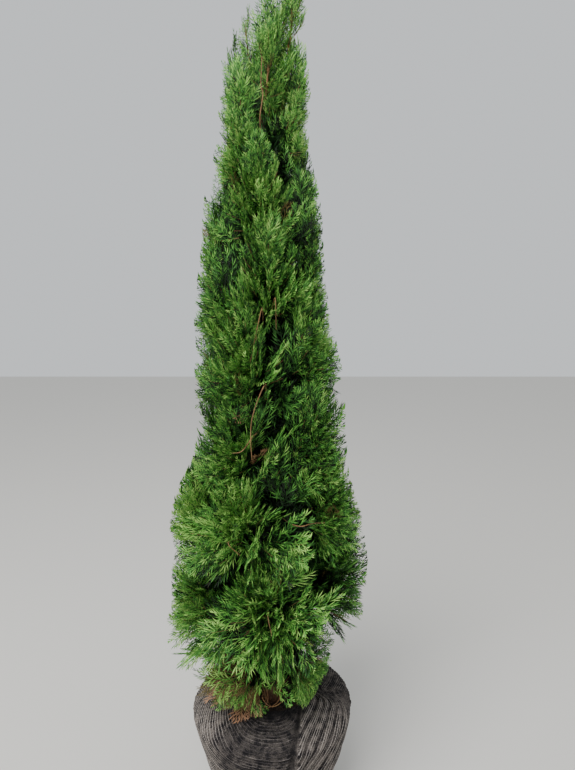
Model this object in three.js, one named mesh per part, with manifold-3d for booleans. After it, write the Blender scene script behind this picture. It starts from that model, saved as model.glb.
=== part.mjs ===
// Potted thuja: a narrow evergreen conifer, about 1.7 m tall, in a round cloth root bag.
// Millimetres, +Z up. The origin is the centre of the bag's flat underside, and the front is -Y.
import * as THREE from "three";
import { mergeVertices } from "three/addons/utils/BufferGeometryUtils.js";
import Module from "manifold-3d";

const wasm = await Module();
wasm.setup();

// Driving dimensions
const gap = 0.3; // clearance between neighbouring pieces
const soilTop = 244; // the ground level of the plant
const bag = {
  floorRadius: 92,
  bellyRadius: 168,
  bellyHeight: 232,
  rimRadius: 80,
  rimHeight: 266,
  cloth: 4,
  sides: 28,
  stepsUp: 5,
  stepsOver: 3,
};
const trunk = {
  foot: 13,
  flare: 9,
  flareHeight: 45,
  tip: 3.2,
  top: 1545,
  sides: 8,
  steps: 16,
};
const lean = { x: -13, from: soilTop, to: 1245, swing: 5 };
const leader = { from: 1290, top: 1570, reach: 50, foot: 6.5, tip: 2.8 };
const inner = { least: 20, share: 0.2 }; // the hollow round the trunk that the masses leave free
const sideways = 18; // the rings sit this much lower on the left and higher on the right
const stemRadius = { foot: 3.4, tip: 1.2 };
const blade = { width: 0.56, thickness: 0.035, curl: 0.12 };
const coreShare = 0.63; // how far out the dense core of a mass goes
const flatten = 0.6; // heights count this much when a point is given to the nearest mass
const spread = { turn: 3, low: 1.75, high: 0.25, tipLean: 0.75, twist: 1.1, onEdge: 1.3 }; // radians
const goldenShare = 0.618;
const zAxis = new THREE.Vector3(0, 0, 1);

// Crown outline: the radius round the trunk line at each height.
const outline = [
  [250, 104],
  [330, 160],
  [380, 192],
  [430, 210],
  [600, 205],
  [690, 194],
  [780, 164],
  [940, 157],
  [1120, 133],
  [1280, 120],
  [1390, 90],
  [1530, 84],
  [1600, 72],
  [1700, 60],
];

// Rings of masses from the ground up. height is the middle of a ring, rise is how far its stems
// climb, turn is the azimuth of its first mass, and sprays and length are those of its blades.
const tiers = [
  { name: "skirt", height: 345, count: 5, turn: 246, rise: -95, sprays: 8, length: 100, bough: true },
  { name: "lower", height: 472, count: 5, turn: 274, rise: 90, sprays: 9, length: 108, bough: true },
  { name: "broad", height: 636, count: 5, turn: 325, rise: 130, sprays: 9, length: 108, bough: true },
  { name: "waist", height: 795, count: 4, turn: 233, rise: 140, sprays: 9, length: 104 },
  { name: "middle", height: 950, count: 4, turn: 335, rise: 140, sprays: 9, length: 100 },
  { name: "upper", height: 1102, count: 4, turn: 281, rise: 140, sprays: 9, length: 94 },
  { name: "neck", height: 1248, count: 3, turn: 262, rise: 130, sprays: 8, length: 86 },
  { name: "spire", height: 1380, count: 3, turn: 229, rise: 120, sprays: 8, length: 74 },
  { name: "crest", height: 1490, count: 3, turn: 52, rise: 100, sprays: 7, length: 66 },
];
// The three tips: where each ends and the stem it stands on.
const tips = [
  { name: "tip_main", x: 44, y: 4, low: 1560, top: 1680, sprays: 8, length: 66, on: "leader" },
  { name: "tip_second", x: -6, y: -4, low: 1540, top: 1645, sprays: 7, length: 54, on: "trunk" },
  { name: "tip_side", x: -42, y: -2, low: 1500, top: 1628, sprays: 7, length: 50, on: "trunk side" },
];

const green = new THREE.MeshStandardMaterial({ color: 0x3d6b26, roughness: 0.6, metalness: 0 });
const bark = new THREE.MeshStandardMaterial({ color: 0x7a5a42, roughness: 0.85, metalness: 0 });
const clothFinish = new THREE.MeshStandardMaterial({ color: 0x4a4746, roughness: 0.9, metalness: 0 });
const earth = new THREE.MeshStandardMaterial({ color: 0x2b231c, roughness: 1, metalness: 0 });

// A seeded stream of numbers from 0 to 1.
function randomStream(seed) {
  let state = seed >>> 0;
  return () => {
    state = (state + 0x6d2b79f5) >>> 0;
    let mixed = Math.imul(state ^ (state >>> 15), state | 1);
    mixed ^= mixed + Math.imul(mixed ^ (mixed >>> 7), mixed | 61);
    return ((mixed ^ (mixed >>> 14)) >>> 0) / 4294967296;
  };
}

// Where the trunk line is at a height.
function trunkLine(z) {
  const share = THREE.MathUtils.smoothstep(z, lean.from, lean.to);
  const wave = Math.sin((2 * Math.PI * (z - soilTop)) / (trunk.top - soilTop));
  return new THREE.Vector3(lean.x * share, lean.swing * wave, z);
}

function crownRadius(z) {
  if (z <= outline[0][0]) return outline[0][1];
  const above = outline.findIndex(([height]) => height > z);
  if (above < 0) return outline.at(-1)[1];
  const [lowHeight, lowRadius] = outline[above - 1];
  const [highHeight, highRadius] = outline[above];
  return THREE.MathUtils.mapLinear(z, lowHeight, highHeight, lowRadius, highRadius);
}

function distanceFromTrunk(p) {
  const line = trunkLine(p.z);
  return Math.hypot(p.x - line.x, p.y - line.y);
}

// A closed three.js geometry as a solid, and back.
function toSolid(geometry) {
  const bare = new THREE.BufferGeometry().setAttribute("position", geometry.getAttribute("position"));
  if (geometry.index) bare.setIndex(geometry.index);
  const merged = mergeVertices(bare, 1e-3);
  const mesh = new wasm.Mesh({
    numProp: 3,
    vertProperties: new Float32Array(merged.attributes.position.array),
    triVerts: new Uint32Array(merged.index.array),
  });
  return new wasm.Manifold(mesh);
}

function toGeometry(solid) {
  const mesh = solid.getMesh();
  return new THREE.BufferGeometry()
    .setAttribute("position", new THREE.BufferAttribute(mesh.vertProperties.slice(), 3))
    .setIndex(new THREE.BufferAttribute(mesh.triVerts.slice(), 1));
}

// The biggest body of a solid, with loose scraps dropped and sealed hollows filled.
function biggest(solid) {
  return solid.decompose().reduce((a, b) => (b.volume() > a.volume() ? b : a));
}

// A tapering limb: a cylinder bent along a curve, with its radius given along the way.
function limb(curve, radiusAt, sides, steps) {
  const geometry = new THREE.CylinderGeometry(1, 1, 1, sides, steps);
  const places = geometry.getAttribute("position");
  for (let i = 0; i < places.count; i++) {
    const along = THREE.MathUtils.clamp(0.5 + places.getY(i), 0, 1);
    const tangent = curve.getTangent(along);
    const side = new THREE.Vector3(0, 1, 0).cross(tangent);
    if (side.lengthSq() < 0.05) side.set(1, 0, 0).cross(tangent);
    side.normalize();
    const other = tangent.clone().cross(side);
    const radius = radiusAt(along);
    const point = curve
      .getPoint(along)
      .addScaledVector(side, places.getZ(i) * radius)
      .addScaledVector(other, places.getX(i) * radius);
    places.setXYZ(i, point.x, point.y, point.z);
  }
  return geometry;
}

// The bag's outer profile from the floor's edge over the belly to the rim.
function bagProfile() {
  const { floorRadius, bellyRadius, bellyHeight, rimRadius, rimHeight } = bag;
  const side = new THREE.CubicBezierCurve(
    new THREE.Vector2(floorRadius, 0),
    new THREE.Vector2(floorRadius + 30, 0.2 * bellyHeight),
    new THREE.Vector2(bellyRadius, 0.92 * bellyHeight),
    new THREE.Vector2(bellyRadius, bellyHeight),
  );
  const shoulder = new THREE.CubicBezierCurve(
    new THREE.Vector2(bellyRadius, bellyHeight),
    new THREE.Vector2(bellyRadius, bellyHeight + 0.6 * (rimHeight - bellyHeight)),
    new THREE.Vector2(bellyRadius - 36, rimHeight - 3),
    new THREE.Vector2(rimRadius, rimHeight),
  );
  return [...side.getPoints(bag.stepsUp), ...shoulder.getPoints(bag.stepsOver).slice(1)];
}

// The profile moved inwards, with its floor raised as much.
function insetProfile(points, inset) {
  return points.map((p, i) => {
    const before = points[Math.max(i - 1, 0)];
    const after = points[Math.min(i + 1, points.length - 1)];
    const run = after.clone().sub(before).normalize();
    const moved = new THREE.Vector2(p.x - run.y * inset, p.y + run.x * inset);
    if (i === 0) moved.set(p.x - inset * 0.8, inset);
    return moved;
  });
}

// The bag sags unevenly: a flat front, and a fuller shoulder at the back right.
function bagSwell(azimuth) {
  const front = Math.exp(-(((azimuth - 1.5 * Math.PI) / 0.5) ** 2));
  const backRight = Math.exp(-(((azimuth - 0.2 * Math.PI) / 0.55) ** 2));
  return 1 - 0.05 * front + 0.03 * backRight + 0.008 * Math.cos(5 * azimuth + 0.6);
}

function bagLathe(profile) {
  const geometry = new THREE.LatheGeometry(profile, bag.sides).rotateX(Math.PI / 2);
  const places = geometry.getAttribute("position");
  for (let i = 0; i < places.count; i++) {
    const azimuth = (Math.atan2(places.getY(i), places.getX(i)) + 2 * Math.PI) % (2 * Math.PI);
    const swell = bagSwell(azimuth);
    places.setXY(i, places.getX(i) * swell, places.getY(i) * swell);
  }
  return toSolid(geometry);
}

function bagSolid() {
  const outer = bagProfile();
  const inside = insetProfile(outer, bag.cloth).reverse();
  const axisLow = new THREE.Vector2(0, 0);
  const axisHigh = new THREE.Vector2(0, bag.cloth);
  return bagLathe([axisLow, ...outer, ...inside, axisHigh]);
}

// The soil fills the bag and is cut level at the ground.
function soilSolid() {
  const wall = insetProfile(bagProfile(), bag.cloth + 1.5 * gap);
  const axisLow = new THREE.Vector2(0, wall[0].y);
  const axisHigh = new THREE.Vector2(0, wall.at(-1).y);
  return bagLathe([axisLow, ...wall, axisHigh]).trimByPlane([0, 0, -1], -soilTop);
}

const taper = (foot, tip) => (along) => THREE.MathUtils.lerp(foot, tip, along);

function trunkCurve() {
  const points = [];
  for (let i = 0; i <= trunk.steps; i++) {
    points.push(trunkLine(THREE.MathUtils.lerp(soilTop + gap, trunk.top, i / trunk.steps)));
  }
  points[1].x = points[0].x; // the foot stands upright, so that its cut is level
  points[1].y = points[0].y;
  return new THREE.CatmullRomCurve3(points);
}

function trunkRadius(along, extra = 0) {
  const climbed = along * (trunk.top - soilTop);
  const flare = trunk.flare * Math.exp((-2.5 * climbed) / trunk.flareHeight);
  return THREE.MathUtils.lerp(trunk.foot, trunk.tip, along ** 0.9) + flare + extra;
}

// The second leader leaves the trunk and climbs to the right of it.
function leaderCurve() {
  const foot = trunkLine(leader.from);
  const top = new THREE.Vector3(foot.x + leader.reach, foot.y + 3, leader.top);
  const bend = new THREE.Vector3(foot.x + leader.reach * 0.85, foot.y + 2, (leader.from + leader.top) / 2);
  return new THREE.QuadraticBezierCurve3(foot, bend, top);
}

// The limbs of the plant, as solids. A grown copy is a clearance wider all round.
const trunkShape = limb(trunkCurve(), (along) => trunkRadius(along), trunk.sides, trunk.steps);
const sideGap = gap / Math.cos(Math.PI / trunk.sides);
const grownTrunk = toSolid(
  limb(trunkCurve(), (along) => trunkRadius(along, sideGap), trunk.sides, trunk.steps),
);
const leaderShape = biggest(
  toSolid(limb(leaderCurve(), taper(leader.foot, leader.tip), 6, 6)).subtract(grownTrunk),
);
const grownLeader = toSolid(limb(leaderCurve(), taper(leader.foot + gap * 1.2, leader.tip + gap * 1.2), 6, 6));
const bagSpace = bagLathe([
  new THREE.Vector2(0, -1),
  ...insetProfile(bagProfile(), -1),
  new THREE.Vector2(0, bag.rimHeight + 1),
]);

// The masses: each has a foot, a bend and a tip for its stem, and a seed that claims its space.
function ringMasses() {
  const masses = [];
  tiers.forEach((tier, ring) => {
    for (let k = 0; k < tier.count; k++) {
      const random = randomStream(1000 + ring * 40 + k);
      const turned = tier.turn + (360 * k) / tier.count + 14 * (random() - 0.5);
      const azimuth = THREE.MathUtils.degToRad(turned);
      const outward = new THREE.Vector3(Math.cos(azimuth), Math.sin(azimuth), 0);
      const middle = tier.height + sideways * outward.x + 24 * (random() - 0.5);
      const footHeight = middle - (tier.bough ? 0.3 : 0.5) * tier.rise;
      const tipHeight = middle + tier.rise / 2;
      const footReach = tier.bough ? 0.3 * crownRadius(middle) : 0;
      const foot = trunkLine(footHeight).addScaledVector(outward, footReach);
      const bend = trunkLine(THREE.MathUtils.lerp(footHeight, tipHeight, 0.3));
      bend.addScaledVector(outward, 0.5 * crownRadius(middle));
      const tip = trunkLine(tipHeight).addScaledVector(outward, 0.6 * crownRadius(tipHeight));
      const seed = trunkLine(middle).addScaledVector(outward, 0.6 * crownRadius(middle));
      masses.push({ ...tier, name: `${tier.name}_foliage_${k + 1}`, k, random, outward, foot, bend, tip, seed });
    }
  });
  return masses;
}

function tipMasses() {
  return tips.map((tip, k) => {
    const random = randomStream(3000 + k);
    const top = new THREE.Vector3(tip.x, tip.y, tip.top - 0.75 * tip.length);
    const starts = {
      leader: leaderCurve().getPoint(1),
      trunk: trunkLine(trunk.top),
      "trunk side": trunkLine(tip.low - 60),
    };
    const foot = starts[tip.on].clone();
    if (tip.on !== "trunk side") foot.addScaledVector(top.clone().sub(foot).normalize(), gap);
    const bend = foot.clone().lerp(top, 0.5);
    if (tip.on === "trunk side") bend.x = THREE.MathUtils.lerp(foot.x, top.x, 0.85);
    const seed = foot.clone().lerp(top, tip.on === "trunk side" ? 0.75 : 0.55);
    const outward = new THREE.Vector3(Math.sign(tip.x), 0.2, 0).normalize();
    return { ...tip, name: `${tip.name}_foliage`, k, random, outward, foot, bend, tip: top, seed, isTip: true };
  });
}

const masses = [...ringMasses(), ...tipMasses()];

// True where a point lies in a mass's own space, nearer to its seed than to any other by a margin.
function inOwnSpace(p, mass, margin) {
  return masses.every((other) => {
    if (other === mass) return true;
    const across = other.seed.clone().sub(mass.seed);
    const from = p.clone().sub(other.seed.clone().add(mass.seed).multiplyScalar(0.5));
    across.z *= flatten;
    from.z *= flatten;
    return from.dot(across.normalize()) < -margin;
  });
}

function stemCurve(mass) {
  return new THREE.QuadraticBezierCurve3(mass.foot, mass.bend, mass.tip);
}

// A bough runs from the trunk to the foot of its mass's stem.
function boughSolids(mass) {
  const start = trunkLine(mass.foot.z - 26);
  const bend = start.clone().lerp(mass.foot, 0.5);
  bend.z -= 4;
  const heading = mass.foot.clone().sub(bend).normalize();
  const radius = { foot: stemRadius.foot + 2.2, tip: stemRadius.foot };
  const grow = (extra) => {
    const end = mass.foot.clone().addScaledVector(heading, extra);
    const curve = new THREE.QuadraticBezierCurve3(start, bend, end);
    return toSolid(limb(curve, taper(radius.foot + 1.3 * extra, radius.tip + 1.3 * extra), 5, 2));
  };
  return { solid: biggest(grow(0).subtract(grownTrunk)), grown: grow(gap) };
}

const boughs = new Map(masses.filter((mass) => mass.bough).map((mass) => [mass, boughSolids(mass)]));
const keepClear = wasm.Manifold.union([
  grownTrunk,
  grownLeader,
  bagSpace,
  ...[...boughs.values()].map((bough) => bough.grown),
]);

// The core: a ball whose points go out until they reach the edge of the mass's space.
function coreSolid(mass) {
  const centre = stemCurve(mass).getPoint(mass.isTip ? 0.5 : 0.55);
  const free = (p) => {
    const radius = crownRadius(p.z);
    const away = distanceFromTrunk(p);
    const hollow = mass.isTip ? 0 : Math.max(inner.least, inner.share * radius);
    return away < coreShare * radius && away > hollow && inOwnSpace(p, mass, 1);
  };
  const size = mass.isTip ? { wide: 15, tall: 50 } : { wide: 0.55 * crownRadius(centre.z), tall: 88 };
  const geometry = new THREE.SphereGeometry(1, 6, 5).rotateX(Math.PI / 2);
  const places = geometry.getAttribute("position");
  for (let i = 0; i < places.count; i++) {
    const way = new THREE.Vector3().fromBufferAttribute(places, i);
    way.set(way.x * size.wide, way.y * size.wide, way.z * size.tall);
    let share = 1;
    while (share > 0.2 && !free(centre.clone().addScaledVector(way, share))) share -= 0.04;
    const point = centre.clone().addScaledVector(way, share);
    places.setXYZ(i, point.x, point.y, point.z);
  }
  return toSolid(geometry);
}

// One spray: a toothed blade, thickest on its middle line and curled towards its tip.
function bladeSolid(root, way, across, length) {
  const half = (blade.width * length) / 2;
  const side = [
    [0.46, 0.86],
    [0.56, 0.4],
    [0.82, 0.62],
  ];
  const rim = [[0, 0], ...side, [1, 0], ...side.map(([u, v]) => [u, -v]).reverse()];
  const up = way.clone().cross(across);
  const place = (u, v, w) =>
    root
      .clone()
      .addScaledVector(way, u * length)
      .addScaledVector(across, v * half)
      .addScaledVector(up, w + blade.curl * length * u * u);
  const thick = (blade.thickness * length) / 2;
  const points = rim.map(([u, v]) => place(u, v, 0));
  points.push(place(0.55, 0, thick), place(0.55, 0, -thick));
  const index = rim.flatMap((_, i) => {
    const next = (i + 1) % rim.length;
    return [next, i, rim.length, i, next, rim.length + 1];
  });
  const flat = points.flatMap((p) => [p.x, p.y, p.z]);
  const geometry = new THREE.BufferGeometry()
    .setAttribute("position", new THREE.Float32BufferAttribute(flat, 3))
    .setIndex(index);
  return { solid: toSolid(geometry), points };
}

// The sprays branch from the stem, the low ones leaning far out and the last ones nearly upright,
// and fan to both sides of it. In the skirt they hang instead. The broad sides of the upright ones
// face outwards, and the low ones stand on edge.
// One that would leave the mass's space is tried shorter, then skipped.
function spraySolids(mass) {
  const curve = stemCurve(mass);
  const random = mass.random;
  const climb = new THREE.Vector3(0, 0, mass.rise < 0 ? -1 : 1);
  const solids = [];
  for (let j = 0; j < mass.sprays; j++) {
    const share = j / (mass.sprays - 1);
    const root = curve.getPoint(mass.isTip ? 0.1 + 0.88 * share : 0.36 + 0.62 * share);
    const turned = ((j * goldenShare + 0.31 * mass.k) % 1) - 0.5;
    const fan = mass.isTip ? 2 * Math.PI * turned : spread.turn * turned * (1 - 0.4 * share);
    const radial = mass.outward.clone().applyAxisAngle(zAxis, fan + 0.3 * (random() - 0.5));
    const lean = THREE.MathUtils.lerp(mass.isTip ? spread.tipLean : spread.low, spread.high, share);
    const angle = lean + 0.3 * (random() - 0.5);
    const way = climb.clone().multiplyScalar(Math.cos(angle)).addScaledVector(radial, Math.sin(angle));
    const onEdge = mass.isTip ? 0 : spread.onEdge * (1 - share) * Math.sign(turned);
    const twist = onEdge + spread.twist * (random() - 0.5);
    const across = zAxis.clone().cross(radial).applyAxisAngle(way, twist);
    const fullLength = mass.length * (0.92 + 0.2 * random());
    for (let size = 1.35; size > 0.45; size -= 0.09) {
      const { solid, points } = bladeSolid(root, way, across, fullLength * size);
      const inside = points.every(
        (p) => (mass.isTip || distanceFromTrunk(p) <= crownRadius(p.z)) && p.z > soilTop + 8,
      );
      const own = inside && points.every((p) => inOwnSpace(p, mass, 0.4));
      if (!own || !solid.intersect(keepClear).isEmpty()) continue;
      solids.push(solid);
      break;
    }
  }
  return solids;
}

function growMass(mass) {
  const stem = toSolid(limb(stemCurve(mass), taper(stemRadius.foot, stemRadius.tip), 3, 4));
  let grown = coreSolid(mass).add(stem);
  for (const spray of spraySolids(mass)) grown = grown.add(spray);
  return biggest(grown.subtract(keepClear));
}

// A mesh whose own zero point is at its foot.
function pieceAt(name, solid, foot, material) {
  const geometry = toGeometry(solid);
  geometry.translate(-foot.x, -foot.y, -foot.z);
  geometry.computeVertexNormals();
  const piece = new THREE.Mesh(geometry, material);
  piece.name = name;
  piece.position.copy(foot);
  return piece;
}

const pottedThuja = new THREE.Group();

const container = new THREE.Group();
const centre = new THREE.Vector3();
container.add(pieceAt("root_bag", bagSolid(), centre, clothFinish));
container.add(pieceAt("soil", soilSolid(), centre, earth));
pottedThuja.add(container);

const wood = new THREE.Group();
wood.add(pieceAt("trunk", toSolid(trunkShape), trunkLine(soilTop + gap), bark));
wood.add(pieceAt("leader", leaderShape, trunkLine(leader.from), bark));
pottedThuja.add(wood);

const crown = new THREE.Group();
for (const [mass, bough] of boughs) {
  wood.add(pieceAt(mass.name.replace("foliage", "bough"), bough.solid, trunkLine(mass.foot.z), bark));
}
for (const mass of masses) crown.add(pieceAt(mass.name, growMass(mass), mass.foot, green));
pottedThuja.add(crown);

export default pottedThuja;
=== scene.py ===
import math

import bmesh
import bpy
import numpy as np
from mathutils import Matrix, Vector, noise


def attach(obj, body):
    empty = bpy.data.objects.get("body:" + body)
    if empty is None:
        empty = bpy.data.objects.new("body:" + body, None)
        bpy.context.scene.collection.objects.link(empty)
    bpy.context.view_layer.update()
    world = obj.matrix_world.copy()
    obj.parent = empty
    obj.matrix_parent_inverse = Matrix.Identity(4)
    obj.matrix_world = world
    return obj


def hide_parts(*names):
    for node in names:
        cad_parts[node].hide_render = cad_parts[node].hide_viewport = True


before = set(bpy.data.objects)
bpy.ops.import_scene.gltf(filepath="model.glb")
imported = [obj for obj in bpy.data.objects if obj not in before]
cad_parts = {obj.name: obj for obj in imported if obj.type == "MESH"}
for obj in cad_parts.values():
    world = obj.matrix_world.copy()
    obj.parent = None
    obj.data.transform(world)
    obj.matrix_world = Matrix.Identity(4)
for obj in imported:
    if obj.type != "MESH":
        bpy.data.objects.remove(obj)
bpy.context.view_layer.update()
print("frame loaded")

zAxis = Vector((0, 0, 1))
goldenShare = 0.618
front = 1.5 * math.pi  # azimuth of the side that faces the camera

# The plant's own sizes in metres, the same as in the part's source
soilTop = 0.244
trunk = {"foot": 0.013, "flare": 0.009, "flareHeight": 0.045, "tip": 0.0032, "top": 1.545}
lean = {"x": -0.013, "from": 0.244, "to": 1.245, "swing": 0.005}
leader = {"from": 1.29, "top": 1.57, "reach": 0.05, "foot": 0.0065, "tip": 0.0028}
stemRadius = {"foot": 0.0034, "tip": 0.0012}
sideways = 0.018  # the rings sit this much lower on the left and higher on the right
flatten = 0.6  # heights count this much when a point is given to the nearest mass
blade = {"width": 0.56, "curl": 0.12, "firstSize": 1.35, "leastSize": 0.45, "sizeStep": 0.09}
spread = {"turn": 3, "low": 1.75, "high": 0.25, "tipLean": 0.75, "twist": 1.1, "onEdge": 1.3}
crownOutline = [  # height, radius round the trunk line
    (0.250, 0.104), (0.330, 0.160), (0.380, 0.192), (0.430, 0.210), (0.600, 0.205),
    (0.690, 0.194), (0.780, 0.164), (0.940, 0.157), (1.120, 0.133), (1.280, 0.120),
    (1.390, 0.090), (1.530, 0.084), (1.600, 0.072), (1.700, 0.060),
]
ringRows = [
    ("skirt", 0.345, 5, 246, -0.095, 8, 0.100), ("lower", 0.472, 5, 274, 0.090, 9, 0.108),
    ("broad", 0.636, 5, 325, 0.130, 9, 0.108), ("waist", 0.795, 4, 233, 0.140, 9, 0.104),
    ("middle", 0.950, 4, 335, 0.140, 9, 0.100), ("upper", 1.102, 4, 281, 0.140, 9, 0.094),
    ("neck", 1.248, 3, 262, 0.130, 8, 0.086), ("spire", 1.380, 3, 229, 0.120, 8, 0.074),
    ("crest", 1.490, 3, 52, 0.100, 7, 0.066),
]
rings = [dict(zip(("name", "height", "count", "turn", "rise", "sprays", "length"), row)) for row in ringRows]
tipRows = [
    ("tip_main", 0.044, 0.004, 1.560, 1.680, 8, 0.066),
    ("tip_second", -0.006, -0.004, 1.540, 1.645, 7, 0.054),
    ("tip_side", -0.042, -0.002, 1.500, 1.628, 7, 0.050),
]
tips = [dict(zip(("name", "x", "y", "low", "top", "sprays", "length"), row)) for row in tipRows]
withBoughs = ("skirt", "lower", "broad")
clearOf = {"soil": 0.008, "trunk": 0.001, "rimHeight": 0.268, "neck": 0.07}  # what a spray keeps clear of


# Numbers, curves and the crown's shape
def randomStream(seed):
    state = seed & 0xFFFFFFFF

    def draw():
        nonlocal state
        state = (state + 0x6D2B79F5) & 0xFFFFFFFF
        mixed = ((state ^ (state >> 15)) * (state | 1)) & 0xFFFFFFFF
        more = (mixed + ((mixed ^ (mixed >> 7)) * (mixed | 61) & 0xFFFFFFFF)) & 0xFFFFFFFF
        mixed ^= more
        return ((mixed ^ (mixed >> 14)) & 0xFFFFFFFF) / 4294967296

    return draw


def mix(a, b, share):
    return a + (b - a) * share


def smoothShare(value, low, high):
    share = min(max((value - low) / (high - low), 0), 1)
    return share * share * (3 - 2 * share)


def bump(value, middle, width):
    return math.exp(-(((value - middle) / width) ** 2))


def trunkLine(z):
    share = smoothShare(z, lean["from"], lean["to"])
    wave = math.sin(2 * math.pi * (z - soilTop) / (trunk["top"] - soilTop))
    return Vector((lean["x"] * share, lean["swing"] * wave, z))


def trunkRadius(z):
    climbed = max(z - soilTop, 0)
    flare = trunk["flare"] * math.exp(-2.5 * climbed / trunk["flareHeight"])
    along = min(climbed / (trunk["top"] - soilTop), 1)
    return mix(trunk["foot"], trunk["tip"], along ** 0.9) + flare


outlineHeights = [height for height, radius in crownOutline]
outlineRadii = [radius for height, radius in crownOutline]


def crownRadius(z):
    return float(np.interp(z, outlineHeights, outlineRadii))


def bendPoint(curve, along):
    a, b, c = curve
    return a * (1 - along) ** 2 + b * 2 * along * (1 - along) + c * along ** 2


def turnAbout(vector, axis, angle):
    return Matrix.Rotation(angle, 3, axis) @ vector


def leaderCurve():
    foot = trunkLine(leader["from"])
    top = Vector((foot.x + leader["reach"], foot.y + 0.003, leader["top"]))
    middle = (leader["from"] + leader["top"]) / 2
    return foot, Vector((foot.x + leader["reach"] * 0.85, foot.y + 0.002, middle)), top


# The masses: each has a stem, and a seed that claims its space
def ringMasses():
    found = []
    for ring, values in enumerate(rings):
        for k in range(values["count"]):
            draw = randomStream(1000 + ring * 40 + k)
            turned = math.radians(values["turn"] + 360 * k / values["count"] + 14 * (draw() - 0.5))
            outward = Vector((math.cos(turned), math.sin(turned), 0))
            middle = values["height"] + sideways * outward.x + 0.024 * (draw() - 0.5)
            onBough = values["name"] in withBoughs
            footHeight = middle - (0.3 if onBough else 0.5) * values["rise"]
            tipHeight = middle + values["rise"] / 2
            footReach = 0.3 * crownRadius(middle) if onBough else 0
            foot = trunkLine(footHeight) + outward * footReach
            bend = trunkLine(mix(footHeight, tipHeight, 0.3)) + outward * 0.5 * crownRadius(middle)
            tip = trunkLine(tipHeight) + outward * 0.6 * crownRadius(tipHeight)
            found.append({
                **values, "node": f"{values['name']}_foliage_{k + 1}", "k": k, "draw": draw,
                "outward": outward, "stem": (foot, bend, tip), "onBough": onBough, "isTip": False,
                "seed": trunkLine(middle) + outward * 0.6 * crownRadius(middle),
            })
    return found


def tipMasses():
    found = []
    for k, values in enumerate(tips):
        top = Vector((values["x"], values["y"], values["top"] - 0.75 * values["length"]))
        onTrunkSide = values["name"] == "tip_side"
        if values["name"] == "tip_main":
            foot = leaderCurve()[2].copy()
        elif onTrunkSide:
            foot = trunkLine(values["low"] - 0.06)
        else:
            foot = trunkLine(trunk["top"])
        bend = foot.lerp(top, 0.5)
        if onTrunkSide:
            bend.x = mix(foot.x, top.x, 0.85)
        found.append({
            **values, "node": values["name"] + "_foliage", "k": k, "draw": randomStream(3000 + k),
            "outward": Vector((math.copysign(1, values["x"]), 0.2, 0)).normalized(), "rise": 1,
            "stem": (foot, bend, top), "onBough": False, "isTip": True,
            "seed": foot.lerp(top, 0.75 if onTrunkSide else 0.55),
        })
    return found


masses = ringMasses() + tipMasses()
seedSpots = np.array([mass["seed"] for mass in masses]) * (1, 1, flatten)


def inOwnSpace(spots, index, margin):
    own = seedSpots[index]
    others = np.delete(seedSpots, index, axis=0)
    across = others - own
    across /= np.linalg.norm(across, axis=1)[:, None]
    reach = (spots * (1, 1, flatten)) @ across.T - np.sum((others + own) / 2 * across, axis=1)
    return bool(np.all(reach < -margin))


bladeSide = [(0.46, 0.86), (0.56, 0.4), (0.82, 0.62)]
bladeRim = [(0, 0)] + bladeSide + [(1, 0)] + [(u, -v) for u, v in reversed(bladeSide)]


def bladeFits(mass, index, root, way, across, length, margin):
    half = blade["width"] * length / 2
    up = way.cross(across)
    spots = []
    for u, v in bladeRim:
        spots.append(root + way * u * length + across * v * half + up * blade["curl"] * length * u * u)
    for spot in spots:
        line = trunkLine(spot.z)
        away = math.hypot(spot.x - line.x, spot.y - line.y)
        if not mass["isTip"] and away > crownRadius(spot.z):
            return False
        if spot.z < soilTop + clearOf["soil"] or away < trunkRadius(spot.z) + clearOf["trunk"]:
            return False
        if spot.z < clearOf["rimHeight"] and away > clearOf["neck"]:
            return False
    return inOwnSpace(np.array(spots), index, margin)


# Sprays branch from the stem, low ones leaning far out and the last ones nearly upright
def spraysOf(mass, index, count, draw, shift, margin):
    climb = Vector((0, 0, -1 if mass["rise"] < 0 else 1))
    found = []
    for j in range(count):
        share = j / (count - 1)
        root = bendPoint(mass["stem"], 0.1 + 0.88 * share if mass["isTip"] else 0.36 + 0.62 * share)
        turned = (j * goldenShare + 0.31 * mass["k"] + shift) % 1 - 0.5
        fan = 2 * math.pi * turned if mass["isTip"] else spread["turn"] * turned * (1 - 0.4 * share)
        radial = turnAbout(mass["outward"], zAxis, fan + 0.3 * (draw() - 0.5))
        angle = mix(spread["tipLean"] if mass["isTip"] else spread["low"], spread["high"], share)
        angle += 0.3 * (draw() - 0.5)
        way = climb * math.cos(angle) + radial * math.sin(angle)
        onEdge = 0 if mass["isTip"] else spread["onEdge"] * (1 - share) * math.copysign(1, turned)
        across = turnAbout(zAxis.cross(radial), way, onEdge + spread["twist"] * (draw() - 0.5))
        length = mass["length"] * (0.92 + 0.2 * draw())
        size = blade["firstSize"]
        while size > blade["leastSize"]:
            if bladeFits(mass, index, root, way, across, length * size, margin):
                found.append((root, way, across, length * size))
                break
            size -= blade["sizeStep"]
    return found


# Materials
def rgb(hexText):
    channels = [int(hexText[i:i + 2], 16) / 255 for i in (0, 2, 4)]
    return [c / 12.92 if c <= 0.04045 else ((c + 0.055) / 1.055) ** 2.4 for c in channels] + [1]


# The inputs of a node by name: another node's output is linked, and anything else is set
def fill(tree, node, values):
    for name, value in values.items():
        if isinstance(value, bpy.types.NodeSocket):
            tree.links.new(value, node.inputs[name])
        else:
            node.inputs[name].default_value = value
    return node


def addNode(tree, kind, values, **settings):
    node = tree.nodes.new(kind)
    for name, setting in settings.items():
        setattr(node, name, setting)
    return fill(tree, node, values)


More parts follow.
